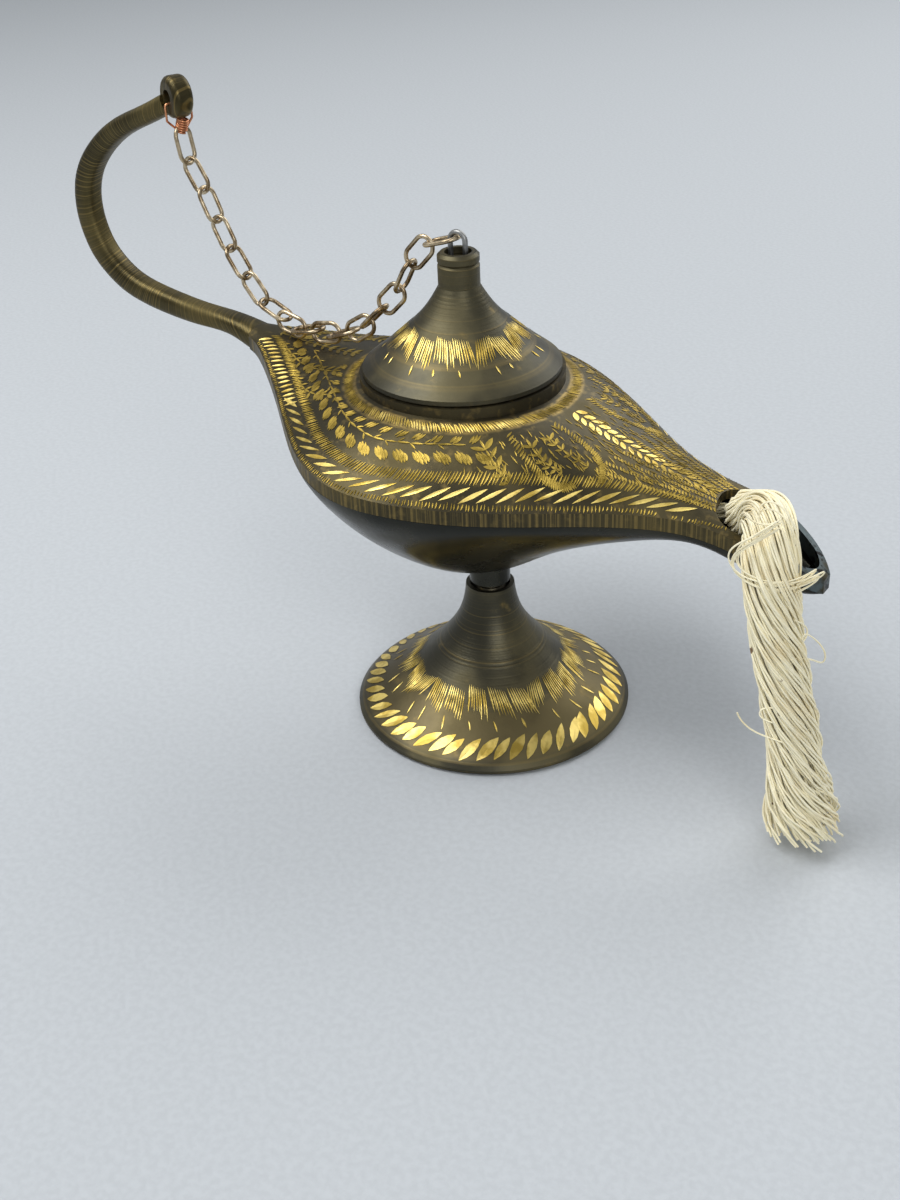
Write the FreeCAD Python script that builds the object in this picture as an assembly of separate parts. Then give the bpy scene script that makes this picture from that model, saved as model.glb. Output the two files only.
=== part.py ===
import FreeCAD, Part
import math
import os

# Oil lamp in cast and turned brass, in millimetres.
# Origin: centre of the foot on the surface it stands on. +X runs to the spout, +Z up.

# Walls, clearances and overruns
wall = 1.5
fit_clearance = 0.3
seat_gap = 0.2
thread_clearance = 0.05
seam_gap = 0.04
overrun = 2.0

# Foot
foot_radius = 25.5
foot_height = 25.1
foot_rim_width = 2.4
foot_rim_height = 1.1
foot_edge_chamfer = 0.6
foot_neck_radius = 4.4
foot_hollow_height = 14.6
foot_recess_depth = 1.6
foot_recess_radius = 3.65
foot_outer_shares = (
    (0.957, 0.088), (0.868, 0.143), (0.745, 0.219), (0.598, 0.319), (0.484, 0.418),
    (0.387, 0.518), (0.308, 0.618), (0.246, 0.717), (0.206, 0.817), (0.183, 0.916),
)
foot_inner_shares = (
    (0.866, 0.164), (0.736, 0.308), (0.571, 0.479), (0.442, 0.651), (0.320, 0.822), (0.212, 0.959),
)

# Threaded stud between the foot and the bowl
stud_radius = 2.9
stud_thread_depth = 0.35
stud_pitch = 1.0
stud_length = 12.6
stud_top_cover = 0.8
stud_chamfer = 0.4

# Body outline: a boat-shaped bowl with a domed deck, from the tail to the spout tip
body_length = 112.1
tail_back = 49.5
half_beam = 32.2
bowl_floor_z = 28.3
body_depth = 35.7
side_band = 2.4
deck_dome_power = 2.8
keel_sharp_power = 1.5
keel_round_power = 2.0
keel_sharp_root = 0.75
keel_round_root = 0.5
least_hollow_height = 4.5
boss_radius = 3.7
boss_gap = 0.8
section_steps = 16

# Each station: place along the body, half width, ridge, crown and keel heights, roundness below
station_shares = (
    (0.000, 0.096, 1.000, 1.035, 0.902, 0.7),
    (0.046, 0.190, 0.983, 1.018, 0.815, 0.5),
    (0.093, 0.320, 0.948, 1.002, 0.705, 0.3),
    (0.138, 0.453, 0.905, 0.995, 0.590, 0.1),
    (0.186, 0.606, 0.860, 0.996, 0.470, 0.0),
    (0.278, 0.870, 0.806, 1.025, 0.250, 0.0),
    (0.371, 1.000, 0.780, 1.058, 0.052, 0.0),
    (0.463, 0.968, 0.762, 1.052, 0.020, 0.0),
    (0.556, 0.815, 0.736, 0.995, 0.180, 0.0),
    (0.648, 0.590, 0.714, 0.895, 0.335, 0.1),
    (0.741, 0.366, 0.693, 0.795, 0.448, 0.4),
    (0.834, 0.247, 0.668, 0.716, 0.500, 0.8),
    (0.888, 0.231, 0.634, 0.656, 0.455, 1.0),
    (0.932, 0.197, 0.578, 0.592, 0.400, 1.0),
    (0.968, 0.140, 0.518, 0.528, 0.366, 1.0),
    (0.989, 0.084, 0.474, 0.480, 0.370, 1.0),
    (1.000, 0.036, 0.448, 0.452, 0.385, 1.0),
)

# Spout mouth
mouth_length = 17.0
mouth_rim = 1.5
mouth_tip_margin = 1.6
mouth_back_round_share = 0.3
mouth_steps = 10

# Filler collar on the deck
lid_axis_x = -4.3
collar_top_share = 1.0532213
collar_top_z = bowl_floor_z + collar_top_share * body_depth
collar_radius = 17.5
collar_depth = 3.6
filler_radius = 12.5

# Lid
lid_radius = 16.9
lid_height = 19.9
lid_rim_height = 0.8
knob_radius = 3.5
knob_height = 5.6
knob_hole_radius = 2.25
knob_hole_depth = 6.0
knob_groove_depth = 0.25
knob_groove_width = 0.7
knob_groove_drop = 1.5
knob_edge_round = 0.5
spigot_depth = 4.2
spigot_wall = 1.2
lid_outer_shares = (
    (0.880, 0.121), (0.752, 0.206), (0.628, 0.296), (0.497, 0.397), (0.381, 0.497), (0.292, 0.598),
)
lid_cavity_shares = ((0.640, 0.0), (0.600, 0.10), (0.450, 0.22), (0.300, 0.34), (0.170, 0.47))

# Staple in the knob
staple_wire = 0.9
staple_half_width = 1.45
staple_height = 3.6
staple_bury = 5.0

# Handle with its eye
handle_reach = 39.9
handle_rise = 42.0
handle_width = 4.5
handle_thickness = 4.3
handle_corner_power = 2.8
handle_section_points = 16
handle_root_drop = 1.05
handle_path_shares = (
    (0.000, 0.000, 1.38, 1.04), (0.135, 0.034, 1.14, 0.86), (0.343, 0.048, 1.02, 0.92),
    (0.511, 0.066, 1.00, 1.00), (0.669, 0.094, 1.00, 1.02), (0.784, 0.131, 1.00, 1.04),
    (0.875, 0.188, 1.00, 1.06), (0.940, 0.254, 1.00, 1.08), (0.980, 0.330, 1.00, 1.08),
    (1.000, 0.411, 1.00, 1.08), (1.000, 0.494, 1.00, 1.06), (0.980, 0.572, 1.00, 1.04),
    (0.935, 0.650, 0.98, 1.00), (0.872, 0.718, 0.96, 0.96), (0.792, 0.782, 0.94, 0.92),
    (0.677, 0.848, 0.92, 0.86), (0.554, 0.898, 0.90, 0.82), (0.440, 0.945, 0.88, 0.82),
    (0.385, 0.970, 0.80, 0.80),
)
eye_radius = 3.65
eye_thickness = 3.8
eye_edge_round = 1.15
eye_hole_radius = 1.4
eye_turn_degrees = 23.0
eye_x_share = 0.331

# Chain of oval links, hung from the eye to the staple
link_count = 17
link_length = 7.2
link_width = 4.3
link_wire = 0.76
link_play = 0.1
slack_spacing = 2.1
first_slack_link = 8
last_slack_link = 12
chain_drop = 5.2
chain_low_gap = 2.7
chain_guide_shares = (
    (0.000, 1.000), (0.026, 0.812), (0.065, 0.665), (0.118, 0.475), (0.173, 0.292),
    (0.238, 0.150), (0.310, 0.051), (0.389, 0.003), (0.483, 0.000), (0.569, 0.006),
    (0.646, 0.081), (0.718, 0.195), (0.786, 0.322), (0.829, 0.463), (0.889, 0.583),
)
relax_rounds = 400

# Copper tie between the eye and the first link
tie_wire = 0.4
tie_bottom_reach = 0.9
tie_corner_radius = 0.45

# Cotton wick: one cord outside, and its thinner drawn-in end inside the bowl
cord_arc_share = 0.45
wick_diameter = 8.0
inner_wick_diameter = 3.8
wick_route = (
    (46.9, 0.5, 50.9),
    (50.6, -0.6, 51.9),
    (53.6, -3.8, 54.7),
    (55.9, -8.0, 54.4),
    (57.5, -11.1, 50.4),
    (58.6, -11.6, 44.6),
    (60.0, -11.2, 36.9),
    (61.7, -10.9, 28.6),
    (63.4, -10.1, 20.3),
    (64.6, -9.9, 12.5),
    (65.8, -9.2, 5.6),
    (66.1, -9.1, 2.2),
)
inner_wick_route = (
    (46.9, 0.5, 50.9),
    (44.2, 1.3, 50.17),
    (37.0, 0.6, 50.0),
    (27.0, -0.4, 48.6),
    (18.0, 0.6, 44.0),
    (9.5, 4.0, 39.2),
    (2.0, 8.5, 38.4),
)


# Vectors and curves
def vector(x, y, z):
    return FreeCAD.Vector(x, y, z)


X_AXIS = vector(1, 0, 0)
Y_AXIS = vector(0, 1, 0)
Z_AXIS = vector(0, 0, 1)
CENTRE = vector(0, 0, 0)


def spline_edge(points, parameters=None):
    curve = Part.BSplineCurve()
    if parameters is None:
        curve.interpolate(points)
    else:
        curve.interpolate(Points=points, Parameters=parameters)
    return curve.toShape()


def chain_of_edges(*pieces):
    """Edges from pieces given as a list of points (straight runs) or as an edge."""
    edges = []
    for piece in pieces:
        if isinstance(piece, list):
            edges += [Part.makeLine(a, b) for a, b in zip(piece, piece[1:])]
        else:
            edges.append(piece)
    return edges


def turned(edges, axis_x=0.0):
    face = Part.Face(Part.Wire(edges))
    return face.revolve(vector(axis_x, 0, 0), Z_AXIS, 360)


def one_solid(shape):
    return shape.Solids[0] if len(shape.Solids) == 1 else shape


def plug(radius, low, high, axis_x=0.0):
    return Part.makeCylinder(radius, high - low, vector(axis_x, 0, low), Z_AXIS)


# Foot: a turned bell, hollow below, with a recess for the boss at the top
def make_foot():
    top = [vector(r * foot_radius, 0, z * foot_height) for r, z in foot_outer_shares]
    rim = vector(foot_radius, 0, foot_rim_height)
    outer = spline_edge([rim] + top + [vector(foot_neck_radius, 0, foot_height)])
    inner_radius = foot_radius - foot_rim_width
    hollow = [vector(r * inner_radius, 0, z * foot_hollow_height) for r, z in foot_inner_shares]
    bore = stud_radius + thread_clearance
    inner_start = vector(inner_radius, 0, 0)
    inner_end = vector(bore, 0, foot_hollow_height)
    inner = spline_edge([inner_start] + hollow + [inner_end])
    recess_z = foot_height - foot_recess_depth
    edges = chain_of_edges(
        outer,
        [vector(foot_neck_radius, 0, foot_height), vector(foot_recess_radius, 0, foot_height),
         vector(foot_recess_radius, 0, recess_z), vector(bore, 0, recess_z), inner_end],
        inner,
        [inner_start, vector(foot_radius - foot_edge_chamfer, 0, 0),
         vector(foot_radius, 0, foot_edge_chamfer), rim],
    )
    return turned(edges)


# Stud: a ring-threaded rod from the foot's neck up into the bowl's boss
def stud_top_z():
    return bowl_floor_z + wall - stud_top_cover


def make_stud():
    top = stud_top_z()
    low = top - stud_length
    root = stud_radius - stud_thread_depth
    points = [vector(0, 0, low), vector(root - stud_chamfer, 0, low), vector(root, 0, low + stud_chamfer)]
    turns = int((stud_length - stud_chamfer - stud_chamfer) / stud_pitch)
    for turn in range(turns):
        base = low + stud_chamfer + turn * stud_pitch
        points.append(vector(stud_radius, 0, base + stud_pitch / 2))
        points.append(vector(root, 0, base + stud_pitch))
    points += [vector(root - stud_chamfer, 0, top), vector(0, 0, top), points[0]]
    return turned(chain_of_edges(points))


# Body stations
def station(row):
    along, width, ridge, crown, keel, roundness = row
    return {
        "x": along * body_length - tail_back,
        "half": width * half_beam,
        "ridge": bowl_floor_z + ridge * body_depth,
        "crown": bowl_floor_z + crown * body_depth,
        "keel": bowl_floor_z + keel * body_depth,
        "round": roundness,
    }


STATIONS = [station(row) for row in station_shares]


def along_stations(x, key):
    """Value of one station size at any x, in straight steps between stations."""
    for a, b in zip(STATIONS, STATIONS[1:]):
        if x <= b["x"]:
            share = (x - a["x"]) / (b["x"] - a["x"])
            return a[key] + share * (b[key] - a[key])
    return STATIONS[-1][key]


def arch(x, half, shoulder, peak, rise):
    """Points across the body at x, from one side to the other, over or under its middle."""
    points = []
    for step in range(section_steps + 1):
        side = -math.cos(math.pi * step / section_steps)
        points.append(vector(x, half * side, shoulder + (peak - shoulder) * rise(abs(side))))
    return points


def dome_rise(side):
    return 1 - side ** deck_dome_power


def hull_rise(roundness):
    def rise(side):
        power = keel_sharp_power + roundness * (keel_round_power - keel_sharp_power)
        root = keel_sharp_root + roundness * (keel_round_root - keel_sharp_root)
        return max(0.0, 1 - side ** power) ** root
    return rise


def body_solid(arches, side_height):
    """Solid under or over one smooth skin through the arches, with upright sides down or up
    to a base that follows the skin's two long edges."""
    surface = Part.BSplineSurface()
    surface.interpolate(arches)
    first_u, last_u, first_v, last_v = surface.bounds()
    long_edges = [surface.vIso(v).toShape() for v in (first_v, last_v)]
    end_edges = [surface.uIso(u).toShape() for u in (first_u, last_u)]
    to_base = vector(0, 0, side_height)
    faces = [surface.toShape()]
    base_edges = long_edges
    if side_height:
        faces += [edge.extrude(to_base) for edge in long_edges]
        base_edges = [edge.translated(to_base) for edge in long_edges]
    faces.append(Part.makeRuledSurface(*base_edges))
    for end, row in zip(end_edges, (arches[0], arches[-1])):
        corners = [row[-1], row[-1] + to_base, row[0] + to_base, row[0]]
        if not side_height:
            corners = [row[-1], row[0]]
        faces.append(Part.Face(Part.Wire(chain_of_edges(end, corners))))
    shell = Part.makeShell(faces)
    shell.sewShape()
    solid = Part.makeSolid(shell)
    if solid.Volume < 0:
        solid.reverse()
    return solid


def seam(s):
    return s["ridge"] - side_band


def inner_stations():
    """Stations with room for a hollow, the first one moved in by the wall at the tail."""
    rows = [s for s in STATIONS
            if s["half"] > wall + wall and s["crown"] - s["keel"] > least_hollow_height]
    return [dict(rows[0], x=rows[0]["x"] + wall)] + rows[1:]


def bowl_outside():
    return body_solid([arch(s["x"], s["half"], seam(s), s["keel"], hull_rise(s["round"]))
                       for s in STATIONS], 0)


def bowl_inside():
    drop = wall / 2
    return body_solid([arch(s["x"], s["half"] - wall, seam(s) - drop, s["keel"] + wall,
                            hull_rise(s["round"]))
                       for s in inner_stations()], drop + overrun)


def deck_outside():
    return body_solid([arch(s["x"], s["half"], s["ridge"], s["crown"], dome_rise)
                       for s in STATIONS], seam_gap - side_band)


def deck_inside():
    return body_solid([arch(s["x"], s["half"] - wall, s["ridge"] - wall, s["crown"] - wall, dome_rise)
                       for s in inner_stations()], wall - side_band - overrun)


# Bowl: the lower casting, with a boss that takes the stud
def boss_low_z():
    return foot_height + boss_gap


def make_bowl():
    shell = bowl_outside().cut(bowl_inside())
    boss = plug(boss_radius, boss_low_z(), bowl_floor_z + wall + wall)
    bore = plug(stud_radius + thread_clearance, boss_low_z() - overrun, stud_top_z() + thread_clearance)
    return one_solid(shell.fuse(boss).cut(bore))


# Deck: the upper casting, with the filler collar and the open mouth of the spout
def mouth_prism():
    tip_x = body_length - tail_back - mouth_tip_margin
    back_x = tip_x - mouth_length
    near = []
    for step in range(1, mouth_steps):
        share = step / mouth_steps
        x = back_x + share * mouth_length
        start = max(0.0, 1 - share / mouth_back_round_share)
        half = (along_stations(x, "half") - mouth_rim) * math.sqrt(1 - start * start)
        near.append(vector(x, half, 0))
    far = [vector(p.x, -p.y, 0) for p in reversed(near)]
    loop = [vector(back_x, 0, 0)] + near + [vector(tip_x, 0, 0)] + far
    curve = Part.BSplineCurve()
    curve.interpolate(Points=loop, PeriodicFlag=True)
    face = Part.Face(Part.Wire([curve.toShape()]))
    prism = face.extrude(vector(0, 0, body_depth))
    prism.translate(vector(0, 0, bowl_floor_z))
    return prism


def make_deck():
    shell = deck_outside().cut(deck_inside())
    collar = plug(collar_radius, collar_top_z - collar_depth, collar_top_z, lid_axis_x)
    above = plug(collar_radius, collar_top_z, collar_top_z + body_depth, lid_axis_x)
    filler = plug(filler_radius, bowl_floor_z, collar_top_z + overrun, lid_axis_x)
    return one_solid(shell.cut(above).fuse(collar).cut(filler).cut(mouth_prism()))


# Lid: a turned cone with a knob, hollow inside its spigot
def lid_base_z():
    return collar_top_z + seat_gap


def make_lid():
    base = lid_base_z()
    top = base + lid_height
    axis = lid_axis_x
    rim = vector(axis + lid_radius, 0, base + lid_rim_height)
    cone = [vector(axis + r * lid_radius, 0, base + z * lid_height) for r, z in lid_outer_shares]
    neck = vector(axis + knob_radius, 0, top - knob_height)
    outer = spline_edge([rim] + cone + [neck])
    groove_z = top - knob_groove_drop
    spigot = filler_radius - fit_clearance
    cavity_radius = spigot - spigot_wall
    cavity = [vector(axis + cavity_radius, 0, base - spigot_depth)]
    cavity += [vector(axis + r * lid_radius, 0, base + z * lid_height) for r, z in lid_cavity_shares]
    edges = chain_of_edges(
        outer,
        [neck, vector(axis + knob_radius, 0, groove_z - knob_groove_width),
         vector(axis + knob_radius - knob_groove_depth, 0, groove_z - knob_groove_width / 2),
         vector(axis + knob_radius, 0, groove_z),
         vector(axis + knob_radius, 0, top - knob_edge_round),
         vector(axis + knob_radius - knob_edge_round, 0, top),
         vector(axis + knob_hole_radius, 0, top),
         vector(axis + knob_hole_radius, 0, top - knob_hole_depth),
         vector(axis, 0, top - knob_hole_depth),
         vector(axis, 0, cavity[-1].z),
         cavity[-1]],
        [cavity[i] for i in range(len(cavity) - 1, -1, -1)],
        [cavity[0], vector(axis + spigot, 0, base - spigot_depth), vector(axis + spigot, 0, base),
         vector(axis + lid_radius, 0, base), rim],
    )
    return turned(edges, axis)


# Round wire bent along straight runs and arcs
def swept(path_edges, radius):
    path = Part.Wire(path_edges)
    first = path.Edges[0]
    start = first.valueAt(first.FirstParameter)
    heading = first.tangentAt(first.FirstParameter)
    profile = Part.Wire([Part.Circle(start, heading, radius).toShape()])
    tube = path.makePipeShell([profile], True, False)
    return one_solid(tube)


def bent(path_edges, radius):
    """Closed round wire, joined from one piece for each run and each arc."""
    pieces = []
    for edge in path_edges:
        start = edge.valueAt(edge.FirstParameter)
        heading = edge.tangentAt(edge.FirstParameter)
        section = Part.Face(Part.Wire([Part.Circle(start, heading, radius).toShape()]))
        if isinstance(edge.Curve, Part.Circle):
            turn = math.degrees(edge.Length / edge.Curve.Radius)
            pieces.append(section.revolve(edge.Curve.Center, edge.Curve.Axis, turn))
        else:
            pieces.append(section.extrude(heading * edge.Length))
    return one_solid(pieces[0].fuse(pieces[1:]))


def rounded_path(points, radii):
    """Straight runs between the points, with a tangent arc at each inner point."""
    edges = []
    last = points[0]
    for before, corner, after, radius in zip(points, points[1:], points[2:], radii):
        back = (before - corner).normalize()
        ahead = (after - corner).normalize()
        half_turn = (math.pi - back.getAngle(ahead)) / 2
        reach = radius * math.tan(half_turn)
        start = corner + back * reach
        end = corner + ahead * reach
        inward = (back + ahead).normalize()
        centre = corner + inward * (radius / math.cos(half_turn))
        middle = centre - inward * radius
        edges.append(Part.LineSegment(last, start).toShape())
        edges.append(Part.Arc(start, middle, end).toShape())
        last = end
    edges.append(Part.LineSegment(last, points[-1]).toShape())
    return edges


def route_radii(points):
    radii = []
    for before, corner, after in zip(points, points[1:], points[2:]):
        run = min((before - corner).Length, (after - corner).Length)
        half_turn = (math.pi - (before - corner).getAngle(after - corner)) / 2
        radii.append(cord_arc_share * run / math.tan(half_turn))
    return radii


def make_cord(route, diameter, name):
    points = [vector(*place) for place in route]
    radii = route_radii(points)
    edges = rounded_path(points, radii)
    tube = swept(edges, diameter / 2)
    length = sum(edge.Length for edge in edges)
    expected = length * math.pi * (diameter / 2) ** 2
    print(name, "length", round(length, 2), "radii", [round(r, 1) for r in radii],
          "volume share", round(tube.Volume / expected, 5))
    return tube


# Staple: one wire loop standing in the knob's hole, across the chain's way
def knob_top_z():
    return lid_base_z() + lid_height


def make_staple():
    top = knob_top_z() + staple_height - staple_wire / 2
    spring = top - staple_half_width
    foot = knob_top_z() - staple_bury
    left = lid_axis_x - staple_half_width
    right = lid_axis_x + staple_half_width
    edges = [
        Part.LineSegment(vector(left, 0, foot), vector(left, 0, spring)).toShape(),
        Part.Arc(vector(left, 0, spring), vector(lid_axis_x, 0, top), vector(right, 0, spring)).toShape(),
        Part.LineSegment(vector(right, 0, spring), vector(right, 0, foot)).toShape(),
    ]
    return swept(edges, staple_wire / 2)


# Handle: a strip bent back over the tail, its far end drilled as an eye
def tail_top_z():
    return bowl_floor_z + body_depth


def handle_root():
    return vector(-tail_back, 0, tail_top_z() - handle_root_drop)


def eye_centre():
    root = handle_root()
    return vector(root.x - eye_x_share * handle_reach, 0, root.z + handle_rise)


def make_handle():
    root = handle_root()
    places = [vector(root.x - along * handle_reach, 0, root.z + up * handle_rise)
              for along, up, _, _ in handle_path_shares]
    sections = []
    for index, (_, _, wide, thick) in enumerate(handle_path_shares):
        before = places[max(0, index - 1)]
        after = places[min(len(places) - 1, index + 1)]
        heading = (after - before).normalize()
        if index == 0:
            heading = X_AXIS * -1
        outward = heading.cross(Y_AXIS)
        ring = []
        for step in range(handle_section_points):
            angle = 2 * math.pi * step / handle_section_points
            across = math.copysign(abs(math.cos(angle)) ** (2 / handle_corner_power), math.cos(angle))
            up = math.copysign(abs(math.sin(angle)) ** (2 / handle_corner_power), math.sin(angle))
            ring.append(places[index] + Y_AXIS * (across * wide * handle_width / 2)
                        + outward * (up * thick * handle_thickness / 2))
        curve = Part.BSplineCurve()
        curve.interpolate(Points=ring, PeriodicFlag=True)
        sections.append(Part.Wire([curve.toShape()]))
    strip = Part.makeLoft(sections, True)
    axis = eye_axis()
    base = eye_centre() - axis * (eye_thickness / 2)
    disc = Part.makeCylinder(eye_radius, eye_thickness, base, axis)
    disc = disc.makeFillet(eye_edge_round, disc.Edges[:1] + disc.Edges[2:])
    hole = Part.makeCylinder(eye_hole_radius, eye_thickness + overrun + overrun, base - axis * overrun, axis)
    return one_solid(strip.fuse(disc).cut(hole))


def eye_axis():
    turn = math.radians(eye_turn_degrees)
    return vector(math.sin(turn), math.cos(turn), 0)


# Chain: odd links lie across the swing plane and carry every hinge at their end wires
def link_spacing(number):
    across = link_length - link_wire
    if number % 2 == 1:
        return across
    if first_slack_link <= number <= last_slack_link:
        return slack_spacing
    return across - 2 * (link_wire + link_play)


def chain_start():
    centre = eye_centre()
    return vector(centre.x, 0, centre.z - chain_drop)


def chain_end():
    inner_top = knob_top_z() + staple_height - staple_wire
    return vector(lid_axis_x, 0, inner_top - link_play - link_wire / 2)


def chain_guide():
    start = chain_start()
    end = chain_end()
    low = tail_top_z() + chain_low_gap
    points = [vector(start.x + along * (end.x - start.x), 0, low + up * (start.z - low))
              for along, up in chain_guide_shares]
    return points + [end]


def chain_joints():
    """Hinge places from the eye to the staple, drawn along the guide and pulled to true spacing."""
    guide = chain_guide()
    runs = [(b - a).Length for a, b in zip(guide, guide[1:])]
    spacing = [link_spacing(number) for number in range(1, link_count + 1)]
    scale = sum(runs) / sum(spacing)
    joints = [guide[0]]
    walked = 0.0
    for space in spacing:
        walked += space * scale
        left = walked
        place = guide[-1]
        for a, b, run in zip(guide, guide[1:], runs):
            if left <= run:
                place = a + (b - a) * (left / run)
                break
            left -= run
        joints.append(place)
    for _ in range(relax_rounds):
        joints[-1] = guide[-1]
        for index in range(link_count - 1, -1, -1):
            pull = (joints[index] - joints[index + 1]).normalize()
            joints[index] = joints[index + 1] + pull * spacing[index]
        joints[0] = guide[0]
        for index in range(link_count):
            pull = (joints[index + 1] - joints[index]).normalize()
            joints[index + 1] = joints[index] + pull * spacing[index]
    return joints


def make_link():
    """One link along X, its plane the XY plane, centred on the origin."""
    bend = (link_width - link_wire) / 2
    straight = (link_length - link_wire) / 2 - bend
    radius = link_wire / 2
    pieces = []
    for side in (-1, 1):
        bar = Part.makeCylinder(radius, 2 * straight, vector(-straight, side * bend, 0), X_AXIS)
        section = Part.Face(Part.Wire([Part.Circle(vector(side * straight, bend, 0), X_AXIS, radius).toShape()]))
        end = section.revolve(vector(side * straight, 0, 0), Z_AXIS, -180 * side)
        pieces += [bar, end]
    link = pieces[0].fuse(pieces[1:])
    return one_solid(link)


def placed_link(number, joints):
    centre = (joints[number - 1] + joints[number]) / 2
    loose = number % 2 == 0 and first_slack_link <= number <= last_slack_link
    a = joints[number - 2] if loose else joints[number - 1]
    b = joints[number + 1] if loose else joints[number]
    slope = math.degrees(math.atan2(b.z - a.z, b.x - a.x))
    link = make_link()
    if number % 2 == 0:
        link.rotate(CENTRE, X_AXIS, 90)
    link.rotate(CENTRE, Y_AXIS, -slope)
    link.translate(centre)
    return link


# Tie: a closed loop of thin wire through the eye's hole and round the first link's end
def make_tie():
    axis = eye_axis()
    centre = eye_centre()
    half_top = eye_thickness / 2 + fit_clearance + tie_wire / 2
    top_z = centre.z - eye_hole_radius + tie_wire / 2 + fit_clearance / 2
    low_z = chain_start().z - link_wire / 2 - link_play - tie_wire / 2
    shoulder_z = centre.z - eye_radius - fit_clearance
    top = vector(centre.x, 0, top_z)
    shoulder = vector(centre.x, 0, shoulder_z)
    low = vector(centre.x, 0, low_z)
    corners = [
        top, top + axis * half_top, shoulder + axis * half_top,
        low + X_AXIS * tie_bottom_reach, low - X_AXIS * tie_bottom_reach,
        shoulder - axis * half_top, top - axis * half_top, top,
    ]
    radii = [tie_corner_radius] * (len(corners) - 2)
    return bent(rounded_path(corners, radii), tie_wire / 2)


def main():
    os.makedirs("parts", exist_ok=True)
    joints = chain_joints()
    nodes = {
        "foot": make_foot(),
        "joining_stud": make_stud(),
        "bowl": make_bowl(),
        "deck": make_deck(),
        "handle": make_handle(),
        "lid": make_lid(),
        "lid_staple": make_staple(),
        "tie_wire": make_tie(),
        "wick": make_cord(wick_route, wick_diameter, "wick"),
        "wick_inside": make_cord(inner_wick_route, inner_wick_diameter, "wick_inside"),
    }
    for number in range(1, link_count + 1):
        nodes[f"chain_link_{number:02d}"] = placed_link(number, joints)
    for name, shape in nodes.items():
        shape.exportStep(f"parts/{name}.step")
        print(name, "solids", len(shape.Solids), "valid", shape.isValid(), "volume", round(shape.Volume, 2))


main()
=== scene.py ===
"""Engraved brass oil lamp: finishes, engraved cuts, cotton wick, copper tie, floor, light and camera."""
import logging
import math
import random
from dataclasses import dataclass
from enum import Enum
from typing import Any, Optional, Sequence, Union

import bpy
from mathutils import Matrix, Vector
from mathutils.bvhtree import BVHTree


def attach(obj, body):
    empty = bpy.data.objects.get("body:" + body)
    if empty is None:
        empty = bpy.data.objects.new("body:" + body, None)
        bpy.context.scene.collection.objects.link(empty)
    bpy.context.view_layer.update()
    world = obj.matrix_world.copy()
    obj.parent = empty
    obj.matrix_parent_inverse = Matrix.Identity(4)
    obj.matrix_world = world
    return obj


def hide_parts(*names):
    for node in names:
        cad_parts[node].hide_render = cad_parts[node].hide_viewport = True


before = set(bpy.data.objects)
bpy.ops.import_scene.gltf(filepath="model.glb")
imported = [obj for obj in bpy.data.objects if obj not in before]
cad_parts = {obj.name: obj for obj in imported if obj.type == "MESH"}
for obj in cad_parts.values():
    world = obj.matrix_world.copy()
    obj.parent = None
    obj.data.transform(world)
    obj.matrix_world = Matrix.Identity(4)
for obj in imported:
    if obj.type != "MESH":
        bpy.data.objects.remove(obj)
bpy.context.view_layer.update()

MM = 0.001
TURN = 2 * math.pi
GOLDEN_ANGLE = 2.39996
LID_AXIS = -4.3
HANDLE_CENTRE = (-67, 84)
LONGEST_CUT, SHORTEST_CUT = 0.02, 0.0001
STEEPEST_UP = 0.15
ABOVE = 0.2
STROKE_LAYERS = ("up", "along", "size")
RING_STARTS, RING_ENDS = (18.0, 18.4), (20.9, 20.3)
SIDE_BAND = (17.7, 18.2)
TIP_PATINA, TIP_SOOT, TIP_PLAIN = (50, 54.5), (56, 60), (49, 53)
Colour = Spot = tuple[float, float, float]
Plan = tuple[float, float]
Socket = bpy.types.NodeSocket
Material = bpy.types.Material
Value = Union["Num", float]
log = logging.getLogger("oil_lamp")


def show(name: str, data: Any) -> bpy.types.Object:
    """Put a new object with this data in the scene.

    Args:
        name: the object's name.
        data: its mesh, curve, light or camera.

    Returns:
        The object.
    """
    thing = bpy.data.objects.new(name, data)
    bpy.context.scene.collection.objects.link(thing)
    return thing


class Num:
    """One number that varies over a surface, with Python's operators as Math nodes."""

    def __init__(self, tree: "Tree", socket: Socket) -> None:
        """Wrap one output of a node tree."""
        self.tree = tree
        self.socket = socket

    def math(self, operation: str, *values: Value) -> "Num":
        """Add a Math node with these inputs in order and give its result."""
        made = self.tree.node("ShaderNodeMath", {"operation": operation}, dict(enumerate(values)))
        return Num(self.tree, made.outputs[0])

    def __add__(self, other: Value) -> "Num":
        """Sum."""
        return self.math("ADD", self, other)

    __radd__ = __add__

    def __sub__(self, other: Value) -> "Num":
        """Difference."""
        return self.math("SUBTRACT", self, other)

    def __rsub__(self, other: float) -> "Num":
        """Difference from a plain number."""
        return self.math("SUBTRACT", other, self)

    def __mul__(self, other: Value) -> "Num":
        """Product."""
        return self.math("MULTIPLY", self, other)

    __rmul__ = __mul__

    def __truediv__(self, other: Value) -> "Num":
        """Quotient."""
        return self.math("DIVIDE", self, other)

    def __pow__(self, other: float) -> "Num":
        """Power."""
        return self.math("POWER", self, other)

    def between(self, low: float, high: float) -> "Num":
        """Rise smoothly from 0 at low to 1 at high."""
        made = self.tree.node("ShaderNodeMapRange", {"interpolation_type": "SMOOTHSTEP"},
                              {"Value": self, "From Min": low, "From Max": high})
        return Num(self.tree, made.outputs[0])

    def within(self, ends: Plan) -> "Num":
        """Rise smoothly from 0 at the first length to 1 at the second, both in millimetres."""
        return self.between(ends[0] * MM, ends[1] * MM)


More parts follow.
